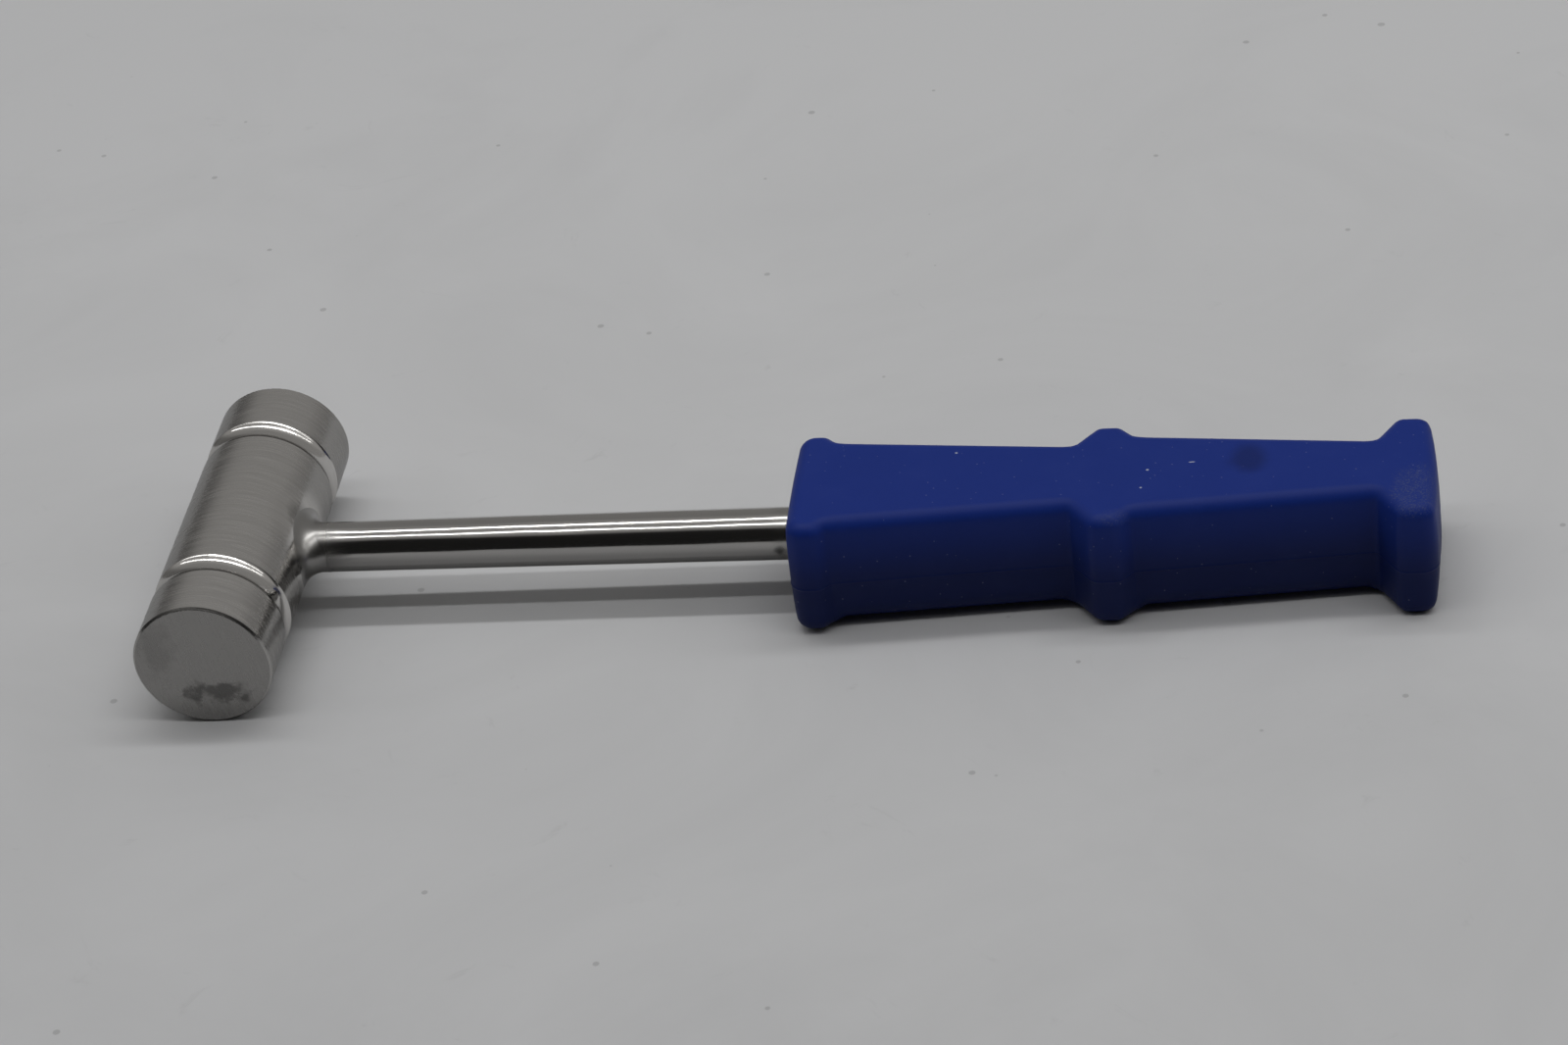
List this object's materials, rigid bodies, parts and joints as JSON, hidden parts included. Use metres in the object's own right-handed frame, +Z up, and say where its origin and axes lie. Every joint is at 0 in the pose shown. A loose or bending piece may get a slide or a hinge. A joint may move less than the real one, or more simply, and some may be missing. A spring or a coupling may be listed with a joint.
{
  "type": "surgical mallet",
  "caption": "Surgical mallet: grooved cylindrical steel head with flat striking faces, round steel shaft and flanged blue moulded grip with finger waists.",
  "frame": {"origin": "on the surface that the mallet lies on, under the centre of its bounding box", "axes": "+X from the head towards the grip, +Y along the head, +Z up from the surface"},
  "size_m": [0.2756, 0.085, 0.03],
  "materials": {
    "head_steel": "satin, brushed round the barrel",
    "shaft_steel": "hand polished",
    "grip_rubber": "satin"
  },
  "bodies": {
    "root": {"head": "head_steel", "shaft": "shaft_steel", "weld": "shaft_steel", "grip": "grip_rubber"}
  },
  "joints": []
}
